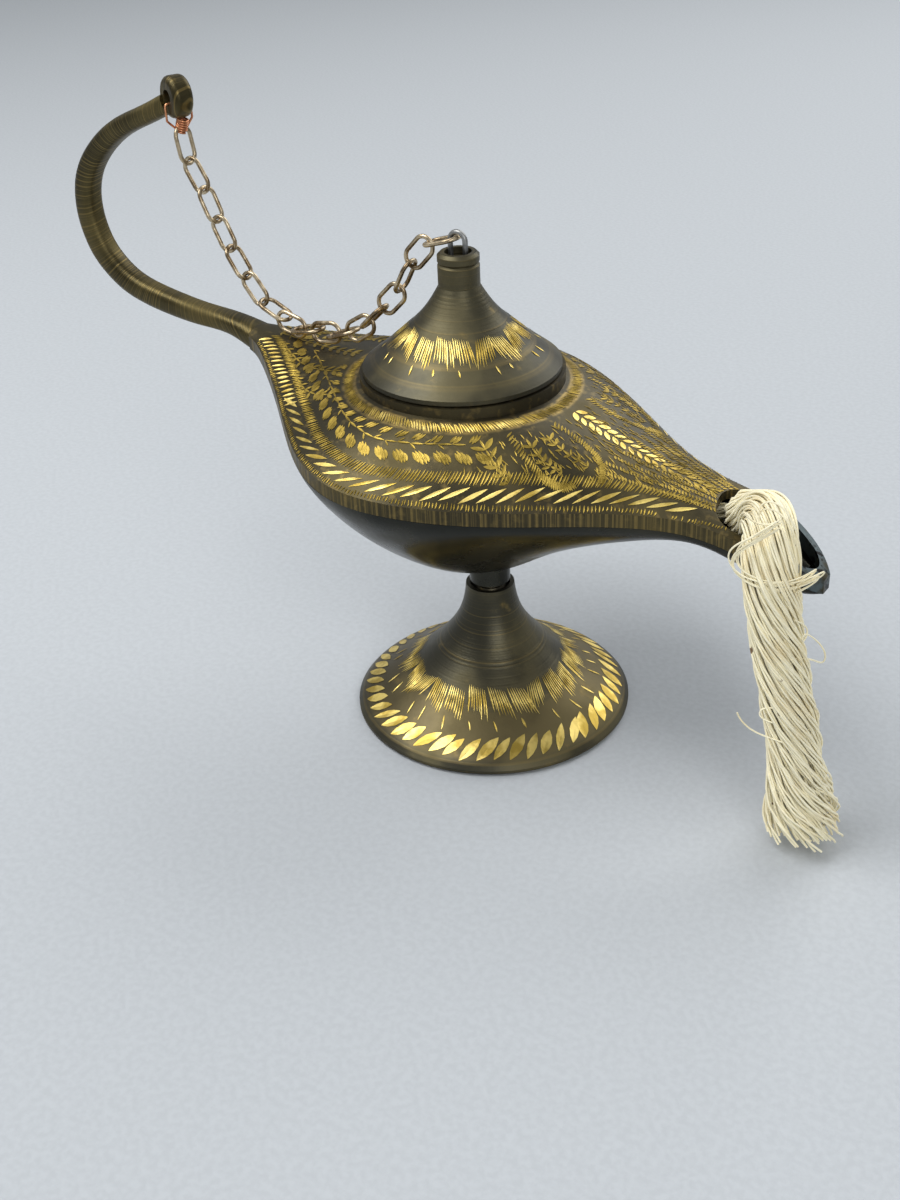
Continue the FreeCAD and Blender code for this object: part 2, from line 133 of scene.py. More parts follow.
class Tree:
    """A node tree, and the one way in which its nodes are added."""

    def __init__(self, tree: bpy.types.NodeTree) -> None:
        """Keep the node tree that is added to."""
        self.tree = tree

    def node(self, kind: str, settings: Optional[dict[str, Any]] = None,
             sockets: Optional[dict[Union[str, int], Any]] = None) -> bpy.types.Node:
        """Add one node.

        Args:
            kind: the node's type.
            settings: its own properties, which are set first.
            sockets: values or links for its inputs, by name or place.

        Returns:
            The node.
        """
        made = self.tree.nodes.new(kind)
        for key, value in (settings or {}).items():
            setattr(made, key, value)
        for key, value in (sockets or {}).items():
            self.feed(made, key, value)
        return made

    def feed(self, made: bpy.types.Node, key: Union[str, int], value: Any) -> None:
        """Set or link one input of a node.

        Args:
            made: the node.
            key: the input's name or place.
            value: the value or the output that it is given.
        """
        source = value.socket if isinstance(value, Num) else value
        if isinstance(source, Socket):
            self.tree.links.new(source, made.inputs[key])
        else:
            made.inputs[key].default_value = source

    def num(self, socket: Socket) -> Num:
        """Wrap an output for use in expressions."""
        return Num(self, socket)

    def split(self, vector: Socket) -> tuple[Num, Num, Num]:
        """Take a vector apart into its three numbers."""
        made = self.node("ShaderNodeSeparateXYZ", sockets={0: vector})
        return self.num(made.outputs[0]), self.num(made.outputs[1]), self.num(made.outputs[2])

    def noise(self, vector: Socket, scale: float, detail: float = 4.0) -> Num:
        """Add cloudy noise about 0.5, with cells in a metre and octaves of finer detail."""
        made = self.node("ShaderNodeTexNoise", sockets={"Vector": vector, "Scale": scale, "Detail": detail})
        return self.num(made.outputs[0])

    def lines(self, along: Num, scale: float) -> Num:
        """Add noise about 0.5 that varies along one number only, as tool marks do."""
        made = self.node("ShaderNodeTexNoise", {"noise_dimensions": "1D"},
                         {"W": along, "Scale": scale, "Detail": 3.0})
        return self.num(made.outputs[0])

    def vector(self, operation: str, first: Any, second: Any) -> Socket:
        """Add a Vector Math node. The second input of SCALE is its factor."""
        place = "Scale" if operation == "SCALE" else 1
        return self.node("ShaderNodeVectorMath", {"operation": operation}, {0: first, place: second}).outputs[0]


class Finish(Tree):
    """A procedural material with a Principled shader."""

    def __init__(self, name: str) -> None:
        """Make the material.

        Args:
            name: the material's name.
        """
        self.material = bpy.data.materials.new(name)
        self.material.use_nodes = True
        super().__init__(self.material.node_tree)
        self.shader = self.material.node_tree.nodes["Principled BSDF"]
        self.place = self.node("ShaderNodeTexCoord").outputs["Object"]

    def mix(self, share: Num, low: Any, high: Any) -> Socket:
        """Blend two colours.

        Args:
            share: how much of the second.
            low: the first colour or its output.
            high: the second colour or its output.

        Returns:
            The blended colour.
        """
        def ready(colour: Any) -> Any:
            """Give a plain colour its fourth number."""
            return (*colour, 1.0) if isinstance(colour, tuple) else colour
        return self.node("ShaderNodeMix", {"data_type": "RGBA"},
                         {0: share, 6: ready(low), 7: ready(high)}).outputs[2]

    def relief(self, height: Num, distance: float, strength: float = 1.0) -> Socket:
        """Turn a height from 0 to 1, which stands for the distance in metres, into a bumped normal."""
        return self.node("ShaderNodeBump", None,
                         {"Strength": strength, "Distance": distance, "Height": height}).outputs[0]

    def dress(self, **sockets: Any) -> Material:
        """Set the shader's sockets.

        Args:
            sockets: values or links by name, with _ for a space.

        Returns:
            The material.
        """
        for key, value in sockets.items():
            self.feed(self.shader, key.replace("_", " "), value)
        return self.material


class Marks(Enum):
    """Tool marks that a brass piece keeps from its making."""

    TURNED = "turned"
    FILED = "filed"
    ENGRAVED = "engraved"
    SMOOTH = "smooth"


@dataclass(frozen=True)
class AgedBrass:
    """Dark antiqued brass, rubbed brighter in cloudy patches and along its tool marks."""

    name: str
    marks: Marks
    dark: Colour = (0.058, 0.054, 0.038)
    warm: Colour = (0.125, 0.108, 0.06)
    rubbed: Colour = (0.3, 0.215, 0.075)
    rubbed_from: float = 0.62
    roughness: float = 0.36
    axis_x: float = 0.0

    def build(self) -> Material:
        """Make the material.

        Returns:
            The finished material.
        """
        f = Finish(self.name)
        x, y, z = f.split(f.place)
        cloud = f.noise(f.place, 70, 5)
        speck = f.noise(f.place, 1500, 3)
        radius = ((x - self.axis_x * MM) ** 2 + y ** 2) ** 0.5
        colour = f.mix(cloud.between(0.38, 0.66), self.dark, self.warm)
        rub = f.noise(f.place, 260, 6).between(self.rubbed_from, self.rubbed_from + 0.16)
        height = speck * 0.25
        if self.marks is Marks.TURNED:
            rings = f.lines(z * 1.6 + radius, 2600)
            rub = rub * 0.5 + rings.between(0.56, 0.75) * 0.22
            height = rings + speck * 0.15
        elif self.marks is Marks.FILED:
            around = f.num(f.node("ShaderNodeMath", {"operation": "ARCTAN2"},
                                  {0: z - HANDLE_CENTRE[1] * MM, 1: x - HANDLE_CENTRE[0] * MM}).outputs[0])
            strokes = f.lines(around + y * 9, 58)
            rub = strokes.between(0.48, 0.7) * 0.42 + rub * 0.6
            height = strokes + speck * 0.2
        elif self.marks is Marks.ENGRAVED:
            _, _, up = f.split(f.node("ShaderNodeTexCoord").outputs["Normal"])
            filed = f.lines(x + y * 0.6, 1500)
            ring_radius = ((x - LID_AXIS * MM) ** 2 + y ** 2) ** 0.5
            band = up.math("ABSOLUTE", up).between(0.5, 0.25) * ring_radius.within(SIDE_BAND)
            ring = ring_radius.within(RING_STARTS) * ring_radius.within(RING_ENDS)
            strokes = f.noise(f.place, 620, 3)
            rub = rub * 0.55 + ring * strokes.between(0.3, 0.55) * 0.85 + strokes.between(0.55, 0.7) * 0.28
            rub = rub * (1 - band * 0.4) + band * filed.between(0.44, 0.66) * 0.5
            height = filed * band * 0.7 + strokes * 0.35 + speck * 0.2
            patina = x.within(TIP_PATINA) * f.noise(f.place, 330, 5).between(0.33, 0.5)
            colour = f.mix(patina, colour, (0.1, 0.125, 0.13))
            soot = x.within(TIP_SOOT) * f.noise(f.place, 900, 4).between(0.55, 0.62)
            colour = f.mix(soot, colour, (0.012, 0.012, 0.012))
            rub = rub * (1 - x.within(TIP_PLAIN))
        colour = f.mix(rub, colour, self.rubbed)
        rough = self.roughness + 0.22 * cloud.between(0.45, 0.7) + speck * 0.08
        return f.dress(Base_Color=colour, Metallic=0.92, Roughness=rough,
                       Normal=f.relief(height, 0.00009, 0.55))


@dataclass(frozen=True)
class GoldCut:
    """Fresh bright metal in an engraved cut."""

    name: str = "gold_cut"
    pale: Colour = (0.98, 0.76, 0.24)
    deep: Colour = (0.5, 0.35, 0.07)
    roughness: float = 0.34

    def build(self) -> Material:
        """Make the material.

        Returns:
            The finished material.
        """
        f = Finish(self.name)
        cloud = f.noise(f.place, 240, 5)
        grain = f.noise(f.place, 2600, 3)
        return f.dress(Base_Color=f.mix(cloud.between(0.38, 0.6), self.deep, self.pale), Metallic=1.0,
                       Roughness=self.roughness + grain * 0.16, Normal=f.relief(grain, 0.00004, 0.5))


@dataclass(frozen=True)
class DrawnWire:
    """Wire with draw marks, dull spots and a little tarnish."""

    name: str
    pale: Colour
    dull: Colour
    roughness: float = 0.3

    def build(self) -> Material:
        """Make the material.

        Returns:
            The finished material.
        """
        f = Finish(self.name)
        cloud = f.noise(f.place, 380, 4)
        grain = f.noise(f.place, 3200, 3)
        return f.dress(Base_Color=f.mix(cloud.between(0.36, 0.62), self.dull, self.pale), Metallic=0.95,
                       Roughness=self.roughness + cloud * 0.18, Normal=f.relief(grain, 0.00003, 0.4))


@dataclass(frozen=True)
class Cotton:
    """Undyed cotton yarn."""

    name: str = "cotton"
    pale: Colour = (0.99, 0.92, 0.67)
    shade: Colour = (0.93, 0.81, 0.52)
    speck: Colour = (0.2, 0.13, 0.06)
    roughness: float = 0.93

    def build(self) -> Material:
        """Make the material.

        Returns:
            The finished material.
        """
        f = Finish(self.name)
        cloud = f.noise(f.place, 200, 5)
        fibre = f.noise(f.vector("MULTIPLY", f.place, (1, 1, 0.25)), 5200, 4)
        share = cloud.between(0.25, 0.55) * 0.8 + fibre * 0.3
        husk = f.noise(f.place, 380, 1).between(0.755, 0.775)
        colour = f.mix(husk, f.mix(share, self.shade, self.pale), self.speck)
        return f.dress(Base_Color=colour, Roughness=self.roughness,
                       Sheen_Weight=0.25, Normal=f.relief(fibre, 0.00012, 0.7))


@dataclass(frozen=True)
class PaleCloth:
    """Pale plain cover of the floor, with a faint grain."""

    name: str = "pale_floor"
    colour: Colour = (0.5, 0.525, 0.55)
    roughness: float = 0.85

    def build(self) -> Material:
        """Make the material.

        Returns:
            The finished material.
        """
        f = Finish(self.name)
        grain = f.noise(f.place, 900, 3)
        low = tuple(v * 0.93 for v in self.colour)
        return f.dress(Base_Color=f.mix(grain.between(0.3, 0.7), low, self.colour), Roughness=self.roughness,
                       Normal=f.relief(grain, 0.0002, 0.3))


class Builder(Tree):
    """A Geometry Nodes tree with named inputs, run once on an object and left as a plain mesh."""

    KINDS = {"length": "NodeSocketFloat", "count": "NodeSocketInt", "object": "NodeSocketObject",
             "finish": "NodeSocketMaterial", "place": "NodeSocketVector"}

    def __init__(self, name: str, inputs: dict[str, tuple[str, Any]]) -> None:
        """Make the tree and its inputs.

        Args:
            name: the tree's name.
            inputs: each input's kind and value, by name.
        """
        group = bpy.data.node_groups.new(name, "GeometryNodeTree")
        super().__init__(group)
        self.values: dict[str, Any] = {}
        group.interface.new_socket("Geometry", in_out="INPUT", socket_type="NodeSocketGeometry")
        for label, (kind, value) in inputs.items():
            made = group.interface.new_socket(label, in_out="INPUT", socket_type=self.KINDS[kind])
            self.values[made.identifier] = value
        group.interface.new_socket("Geometry", in_out="OUTPUT", socket_type="NodeSocketGeometry")
        self.given = self.node("NodeGroupInput").outputs

    def size(self, label: str) -> Num:
        """Give a named input for use in expressions."""
        return self.num(self.given[label])

    def named(self, name: str, kind: str = "FLOAT_VECTOR") -> Socket:
        """Read an attribute of a data type by its name."""
        return self.node("GeometryNodeInputNamedAttribute", {"data_type": kind}, {"Name": name}).outputs[0]

    def tube(self, curve: Socket, corners: int, radius: str) -> Socket:
        """Sweep a circle along a curve.

        Args:
            curve: the curve.
            corners: the circle's corners.
            radius: the label of the input that gives its radius.

        Returns:
            The tube, closed at both ends.
        """
        ring = self.node("GeometryNodeCurvePrimitiveCircle", None,
                         {"Resolution": corners, "Radius": self.given[radius]}).outputs[0]
        return self.node("GeometryNodeCurveToMesh", None,
                         {"Curve": curve, "Profile Curve": ring, "Fill Caps": True}).outputs[0]

    def close(self, geometry: Socket) -> None:
        """End the tree with real meshes in the named finish.

        Args:
            geometry: what the tree has made.
        """
        real = self.node("GeometryNodeRealizeInstances", None, {"Geometry": geometry}).outputs[0]
        dressed = self.node("GeometryNodeSetMaterial", None,
                            {"Geometry": real, "Material": self.given["Finish"]}).outputs[0]
        out = self.node("NodeGroupOutput")
        self.tree.links.new(dressed, out.inputs[0])

    def run(self, name: str, start: bpy.types.Mesh, smooth: bool) -> bpy.types.Object:
        """Run the tree on a start mesh.

        Args:
            name: the name of the finished piece.
            start: the mesh that the tree is given.
            smooth: whether the faces are shaded smooth.

        Returns:
            The finished piece, a plain mesh at the origin.
        """
        rough = show(name + "_start", start)
        modifier = rough.modifiers.new("build", "NODES")
        modifier.node_group = self.tree
        for identifier, value in self.values.items():
            modifier[identifier] = value
        rough.update_tag()
        bpy.context.view_layer.update()
        graph = bpy.context.evaluated_depsgraph_get()
        mesh = bpy.data.meshes.new_from_object(rough.evaluated_get(graph))
        bpy.data.objects.remove(rough)
        for kept in [a.name for a in mesh.attributes if a.name in (*STROKE_LAYERS, "lift")]:
            mesh.attributes.remove(mesh.attributes[kept])
        mesh.polygons.foreach_set("use_smooth", [smooth] * len(mesh.polygons))
        return show(name, mesh)


class Surface:
    """The outside of one CAD node, on which cuts are placed from above, in millimetres."""

    def __init__(self, node: str) -> None:
        """Index the node's triangles.

        Args:
            node: the CAD node's name.
        """
        self.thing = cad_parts[node]
        mesh = self.thing.data
        self.hits = BVHTree.FromPolygons([v.co for v in mesh.vertices], [tuple(p.vertices) for p in mesh.polygons])

    def under(self, x: float, y: float) -> Optional[tuple[Vector, Vector]]:
        """Find the place in metres below a point of the plan, with its normal, or None beside the piece."""
        place, normal, _, _ = self.hits.ray_cast(Vector((x * MM, y * MM, ABOVE)), Vector((0, 0, -1)))
        return None if place is None or normal.z < STEEPEST_UP else (place, normal)


class Cuts:
    """The engraved cuts of one body, gathered as strokes of the plan and then cut in one go."""

    def __init__(self, surface: Surface, seed: int) -> None:
        """Start with no cuts.

        Args:
            surface: the surface that is engraved.
            seed: the seed of the hand's small slips.
        """
        self.surface = surface
        self.hand = random.Random(seed)
        self.strokes: list[tuple[Vector, ...]] = []

    def stroke(self, start: Plan, end: Plan, width: float, slip: float = 0.12) -> None:
        """Add one cut between two points of the plan.

        Args:
            start: where it starts.
            end: where it ends.
            width: its width.
            slip: how far the hand may miss each end.
        """
        shake = [self.hand.uniform(-slip, slip) for _ in range(4)]
        ends = [(start[0] + shake[0], start[1] + shake[1]), (end[0] + shake[2], end[1] + shake[3])]
        middle = ((ends[0][0] + ends[1][0]) / 2, (ends[0][1] + ends[1][1]) / 2)
        found = [self.surface.under(*p) for p in (*ends, middle)]
        if None in found:
            return
        along = found[1][0] - found[0][0]
        if along.length > LONGEST_CUT or along.length < SHORTEST_CUT:
            return
        size = Vector((along.length, width * MM * self.hand.uniform(0.8, 1.2), 1))
        self.strokes.append((*found[2], along.normalized(), size))

    def cut(self, name: str, finish: Material, body: str) -> bpy.types.Object:
        """Cut the gathered strokes as small grooved leaves that follow the surface.

        Args:
            name: the piece's name.
            finish: the finish of the cuts.
            body: the CAD body that they ride on.

        Returns:
            The finished piece.
        """
        places, *rest = zip(*self.strokes)
        start = bpy.data.meshes.new(name)
        start.from_pydata([tuple(p) for p in places], [], [])
        for label, values in zip(STROKE_LAYERS, rest):
            layer = start.attributes.new(label, "FLOAT_VECTOR", "POINT")
            layer.data.foreach_set("vector", [c for v in values for c in v])
        t = Builder(name + "_tree", {
            "Corners": ("count", 12), "Edge lift": ("length", 0.000075), "Groove lift": ("length", 0.000025),
            "Surface": ("object", self.surface.thing), "Finish": ("finish", finish)})
        leaf = t.node("GeometryNodeMeshCircle", {"fill_type": "TRIANGLE_FAN"},
                      {"Vertices": t.given["Corners"], "Radius": 0.5}).outputs[0]
        spot = t.node("GeometryNodeInputPosition").outputs[0]
        x, y, _ = t.split(spot)
        bulge = 1.0 - 4.0 * x * x
        inside = bulge.math("MAXIMUM", bulge, 0.0)
        lens = t.node("ShaderNodeCombineXYZ", None, {0: x, 1: y * inside ** 0.5}).outputs[0]
        edge = (x * x + y * y).between(0.05, 0.06)
        lift = t.size("Groove lift") + edge * (t.size("Edge lift") - t.size("Groove lift"))
        leaf = t.node("GeometryNodeStoreNamedAttribute", {"data_type": "FLOAT", "domain": "POINT"},
                      {"Geometry": leaf, "Name": "lift", "Value": lift}).outputs[0]
        leaf = t.node("GeometryNodeSetPosition", None, {"Geometry": leaf, "Position": lens}).outputs[0]
        turn = t.node("FunctionNodeAxesToRotation", {"primary_axis": "Z", "secondary_axis": "X"},
                      {"Primary Axis": t.named("up"), "Secondary Axis": t.named("along")}).outputs[0]
        leaves = t.node("GeometryNodeInstanceOnPoints", None,
                        {"Points": t.given["Geometry"], "Instance": leaf, "Rotation": turn,
                         "Scale": t.named("size")}).outputs[0]
        real = t.node("GeometryNodeRealizeInstances", None, {"Geometry": leaves}).outputs[0]
        metal = t.node("GeometryNodeObjectInfo", None, {"Object": t.given["Surface"]}).outputs["Geometry"]
        near = t.node("GeometryNodeProximity", {"target_element": "FACES"}, {0: metal}).outputs["Position"]
        raised = t.vector("ADD", near, t.vector("SCALE", t.named("up"), t.named("lift", "FLOAT")))
        laid = t.node("GeometryNodeSetPosition", None, {"Geometry": real, "Position": raised}).outputs[0]
        t.close(laid)
        piece = t.run(name, start, False)
        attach(piece, body)
        log.info("%s: %d cuts", name, len(places))
        return piece


def polar(axis_x: float, radius: float, angle: float) -> Plan:
    """Place a point of the plan at a radius in millimetres and an angle in radians round an axis."""
    return axis_x + radius * math.cos(angle), radius * math.sin(angle)


def bend(points: Sequence[Plan], share: float) -> Plan:
    """Give a point of a bent line.

    Args:
        points: the line's start, handle and end.
        share: how far along it the point is, from 0 to 1.

    Returns:
        The point.
    """
    first, handle, last = ((1 - share) ** 2, 2 * share * (1 - share), share * share)
    (x0, y0), (x1, y1), (x2, y2) = points
    return first * x0 + handle * x1 + last * x2, first * y0 + handle * y1 + last * y2


@dataclass
class TurnedPiece:
    """A turned bell with a band of cut fans, dashes below it and, on the foot, a ring of leaves."""

    node: str
    body: str
    axis_x: float
    fans: int
    strokes: int
    fan_top: float
    fan_foot: float
    fan_crest: float
    dash_end: float
    stroke_width: float
    fan_lean: float = 0.16
    fan_spread: float = 0.48
    first_angle: float = 0.11
    leaves: int = 0
    leaf_inner: float = 0.0
    leaf_outer: float = 0.0
    leaf_width: float = 0.0
    leaf_lean: float = 0.155
    seed: int = 3

    def fan_band(self, cuts: Cuts) -> None:
        """Cut the fans and the dashes below them.

        Args:
            cuts: what gathers the cuts.
        """
        step = TURN / self.fans
        for fan in range(self.fans):
            middle = fan * step + self.first_angle + cuts.hand.uniform(-0.03, 0.03)
            way = cuts.hand.choice((-1, 1)) * cuts.hand.uniform(0.5, 1.1)
            deeper = cuts.hand.uniform(-0.4, 0.4)
            for stroke in range(self.strokes):
                share = (stroke + 0.5) / self.strokes * 2 - 1
                angle = middle + share * step * self.fan_spread
                lean = way * self.fan_lean * step
                top = self.fan_top + deeper + 0.35 * self.fan_crest * share * way
                foot = self.fan_foot + deeper + self.fan_crest * share * way + cuts.hand.uniform(-0.5, 0.5)
                cuts.stroke(polar(self.axis_x, top, angle - lean), polar(self.axis_x, foot, angle + lean),
                            self.stroke_width, 0.05)
            start = self.fan_foot + self.fan_crest * 0.4 + abs(deeper)
            reach = (self.dash_end - start) * cuts.hand.uniform(0.6, 1.0)
            angle = middle - 0.3 * step * way
            cuts.stroke(polar(self.axis_x, start, angle), polar(self.axis_x, start + reach, angle + 0.03),
                        self.stroke_width * 1.3, 0.15)

    def leaf_ring(self, cuts: Cuts) -> None:
        """Cut the ring of slanted leaves near the rim.

        Args:
            cuts: what gathers the cuts.
        """
        for leaf in range(self.leaves):
            angle = leaf * TURN / self.leaves
            lean = self.leaf_lean + cuts.hand.uniform(-0.03, 0.03)
            cuts.stroke(polar(self.axis_x, self.leaf_inner, angle + lean),
                        polar(self.axis_x, self.leaf_outer, angle), self.leaf_width, 0.25)

    def engrave(self, finish: Material) -> None:
        """Cut the whole pattern.

        Args:
            finish: the finish of the cuts.
        """
        cuts = Cuts(Surface(self.node), self.seed)
        self.fan_band(cuts)
        self.leaf_ring(cuts)
        cuts.cut(self.node + "_cuts", finish, self.body)


@dataclass
class DeckEngraving:
    """The rows, vines and petals cut in the domed deck, laid out from its outline."""

    tail_x: float = -49.5
    length: float = 112.1
    half_beam: float = 32.2
    ring_inner: float = 18.5
    ring_outer: float = 20.4
    ring_cuts: int = 270
    # ring strokes between these two counts face the camera and are cut bright as a painted glint
    painted_glint_from: int = 188
    painted_glint_to: int = 256
    leaf_inner: float = 20.9
    leaf_outer: float = 22.5
    ring_leaves: int = 15
    field_radius: float = 21.6
    fern_pairs: int = 18
    bright_pairs: int = 11
    seed: int = 11
    outline_shares: tuple[Plan, ...] = (
        (0.0, 0.096), (0.046, 0.19), (0.093, 0.32), (0.138, 0.453), (0.186, 0.606), (0.278, 0.87),
        (0.371, 1.0), (0.463, 0.968), (0.556, 0.815), (0.648, 0.59), (0.741, 0.366), (0.834, 0.247),
        (0.888, 0.231))

    def edge(self, x: float) -> float:
        """Give the deck's half width.

        Args:
            x: the place along the body, in millimetres.

        Returns:
            The half width there, on a smooth curve through the outline's points.
        """
        share = (x - self.tail_x) / self.length
        rows = self.outline_shares
        at = max(1, min(len(rows) - 3, next((i for i, r in enumerate(rows) if r[0] > share), len(rows)) - 1))
        p = rows[at - 1:at + 3]
        t = (share - p[1][0]) / (p[2][0] - p[1][0])
        rise = [(p[i + 1][1] - p[i - 1][1]) / (p[i + 1][0] - p[i - 1][0]) * (p[2][0] - p[1][0]) for i in (1, 2)]
        value = ((2 * t ** 3 - 3 * t ** 2 + 1) * p[1][1] + (t ** 3 - 2 * t ** 2 + t) * rise[0]
                 + (3 * t ** 2 - 2 * t ** 3) * p[2][1] + (t ** 3 - t ** 2) * rise[1])
        return value * self.half_beam

    def row(self, inset: float, pitch: float, start: float = -45.0, end: float = 49.0) -> list[tuple[Plan, Plan]]:
        """Walk along the rim at an inset.

        Args:
            inset: the distance inside the rim.
            pitch: the step along the row.
            start: the x at which the row starts.
            end: the x at which it ends.

        Returns:
            Points with their directions, along one side.
        """
        found, x, last = [], start, None
        while x < end:
            slope = (self.edge(x + 0.2) - self.edge(x - 0.2)) / 0.4
            size = math.hypot(1, slope)
            along = (1 / size, slope / size)
            point = (x + inset * along[1], self.edge(x) - inset * along[0])
            if last is None or math.dist(point, last) >= pitch:
                clear = math.hypot(point[0] - LID_AXIS, point[1]) > self.field_radius
                if point[1] > 0.9 and clear and -47 < point[0] < 50:
                    found.append((point, along))
                last = point
            x += 0.1
        return found

    def both(self, cuts: Cuts, start: Plan, end: Plan, width: float, slip: float = 0.12) -> None:
        """Cut a stroke and its mirror image. The slip is how far the hand may miss each end."""
        cuts.stroke(start, end, width, slip)
        cuts.stroke((start[0], -start[1]), (end[0], -end[1]), width, slip)

    def hatch(self, cuts: Cuts, inset: float, depth: float, pitch: float, lean: float, width: float,
              start: float = -46.0, end: float = 49.0) -> None:
        """Cut a row of equal strokes along the rim.

        Args:
            cuts: what gathers the cuts.
            inset: the row's distance inside the rim.
            depth: how far each stroke reaches across the row.
            pitch: the step along the row.
            lean: how far each stroke runs along the row.
            width: the stroke's width.
            start: the x at which the row starts.
            end: the x at which it ends.
        """
        for (px, py), (ax, ay) in self.row(inset, pitch, start, end):
            across = (ay * depth / 2, -ax * depth / 2)
            self.both(cuts, (px - ax * lean / 2 - across[0], py - ay * lean / 2 - across[1]),
                      (px + ax * lean / 2 + across[0], py + ay * lean / 2 + across[1]), width)

    def punch_row(self, cuts: Cuts, inset: float, pitch: float, size: float, end: float) -> None:
        """Cut a row of leaf punches, each of a few strokes side by side.

        Args:
            cuts: what gathers the cuts.
            inset: the row's distance inside the rim.
            pitch: the step along the row.
            size: the length of a leaf.
            end: the x at which the row ends.
        """
        for (px, py), (ax, ay) in self.row(inset, pitch, end=end):
            out = (ax * 0.62 - ay * 0.78, ay * 0.62 + ax * 0.78)
            for at, reach in enumerate((0.75, 1.0, 0.95, 0.6)):
                sx, sy = px + ax * (at - 1.5) * size * 0.2, py + ay * (at - 1.5) * size * 0.2
                half = size * reach / 2
                self.both(cuts, (sx - out[0] * half, sy - out[1] * half), (sx + out[0] * half, sy + out[1] * half),
                          size * 0.27, 0.08)

    def stem_row(self, cuts: Cuts, inset: float, end: float) -> None:
        """Cut one long line along the rim, with thorns.

        Args:
            cuts: what gathers the cuts.
            inset: the line's distance inside the rim.
            end: the x at which the line ends.
        """
        spots = self.row(inset, 2.2, end=end)
        for at, ((here, along), (there, _)) in enumerate(zip(spots, spots[1:])):
            if math.dist(here, there) > 3.5:
                continue
            self.both(cuts, here, there, 0.36, 0.04)
            way = 1 if at % 2 else -1
            tip = (here[0] + along[0] * 1.1 - along[1] * way * 0.9, here[1] + along[1] * 1.1 + along[0] * way * 0.9)
            self.both(cuts, here, tip, 0.32, 0.06)

    def band(self, cuts: Cuts, points: Sequence[Plan], width: float, pitch: float) -> None:
        """Cut a curved band of close strokes laid across it.

        Args:
            cuts: what gathers the cuts.
            points: start, handle and end of the band's middle line.
            width: the band's width.
            pitch: the step between strokes.
        """
        (x0, y0), (x1, y1), (x2, y2) = points
        count = max(4, round(math.dist(points[0], points[2]) * 1.12 / pitch))
        for step in range(count + 1):
            t = step / count
            x, y = bend(points, t)
            ax, ay = ((1 - t) * (b - a) + t * (c - b) for a, b, c in ((x0, x1, x2), (y0, y1, y2)))
            size = math.hypot(ax, ay) * 2 / width
            self.both(cuts, (x + (ay - ax * 0.5) / size, y - (ax + ay * 0.5) / size),
                      (x - (ay - ax * 0.5) / size, y + (ax + ay * 0.5) / size), 0.36, 0.06)

    def vine(self, cuts: Cuts, points: Sequence[Plan], pitch: float, leaf: float, mirrored: bool = True) -> None:
        """Cut a curved stem with leaves on both sides.

        Args:
            cuts: what gathers the cuts.
            points: start, handle and end of the stem's curve.
            pitch: the step between leaf pairs.
            leaf: the length of a leaf.
            mirrored: whether its mirror image is cut too.
        """
        add = self.both if mirrored else (lambda c, a, b, w, slip=0.12: c.stroke(a, b, w, slip))
        count = max(3, round(math.dist(points[0], points[2]) * 1.1 / pitch))
        spots = [bend(points, i / count) for i in range(count + 1)]
        for at, (here, there) in enumerate(zip(spots, spots[1:])):
            size = math.dist(here, there)
            ax, ay = (there[0] - here[0]) / size, (there[1] - here[1]) / size
            add(cuts, here, there, 0.42, 0.05)
            reach = leaf * (1 - 0.45 * at / count)
            for way in (-1, 1):
                tip = (there[0] - ax * reach * 0.55 - ay * way * reach * 0.8,
                       there[1] - ay * reach * 0.55 + ax * way * reach * 0.8)
                add(cuts, there, tip, reach * 0.36, 0.1)

    def fill(self, cuts: Cuts, start: float, end: float, count: int, inset: float) -> None:
        """Fill a part of the field with short fine strokes that lead away from the lid.

        Args:
            cuts: what gathers the cuts.
            start: the x at which the strokes start.
            end: the x at which they end.
            count: how many are tried.
            inset: how far inside the rim they stay.
        """
        hand = random.Random(self.seed + 2)
        for _ in range(count):
            x, share = hand.uniform(start, end), hand.random()
            y = share * (self.edge(x) - inset)
            turn = math.atan2(y, x - LID_AXIS) * 0.6 + hand.uniform(-0.35, 0.35)
            reach = hand.uniform(0.9, 1.9)
            if math.hypot(x - LID_AXIS, y) > self.field_radius:
                self.both(cuts, (x, y), (x + reach * math.cos(turn), y + reach * math.sin(turn)), 0.2, 0.05)

    def engrave(self, bright: Material, worn: Material) -> None:
        """Cut the whole pattern.

        Args:
            bright: the finish of the cuts along the rim, and of the ring's front arc, where it is a painted glint.
            worn: the finish of the other cuts.
        """
        cuts, rim = Cuts(Surface("deck"), self.seed), Cuts(Surface("deck"), self.seed + 1)
        # The arc of the ring that faces the camera goes in the bright finish as a painted glint; the rest of the ring
        # is in the worn finish.
        for stroke in range(self.ring_cuts):
            angle = stroke * TURN / self.ring_cuts
            (rim if self.painted_glint_from < stroke < self.painted_glint_to else cuts).stroke(
                polar(LID_AXIS, self.ring_inner, angle), polar(LID_AXIS, self.ring_outer, angle + 0.045), 0.3, 0.16)
        self.hatch(cuts, inset=0.55, depth=0.7, pitch=0.5, lean=0.2, width=0.22)
        self.hatch(rim, inset=1.95, depth=1.75, pitch=2.9, lean=4.9, width=0.62, start=-30.0)
        self.hatch(rim, inset=1.95, depth=2.1, pitch=1.3, lean=1.3, width=0.66, end=-29.0)
        self.hatch(cuts, inset=4.0, depth=1.8, pitch=0.5, lean=1.2, width=0.3)
        self.punch_row(cuts, inset=6.7, pitch=3.3, size=2.8, end=17.0)
        self.stem_row(cuts, inset=8.9, end=14.0)
        for step in range(self.ring_leaves):
            turn = (50 + 8 * step) / 360 * TURN
            for side in (-0.022, 0.0, 0.022):
                self.both(cuts, polar(LID_AXIS, self.leaf_inner, turn + side),
                          polar(LID_AXIS, self.leaf_outer - abs(side) * 12, turn + side + 0.05), 0.5, 0.08)
        self.vine(cuts, ((9.9, 16.6), (14.0, 19.0), (16.8, 19.4)), 1.5, 2.6)
        self.band(cuts, ((13.0, 12.9), (22.5, 17.8), (25.0, 13.4)), 1.4, 0.42)
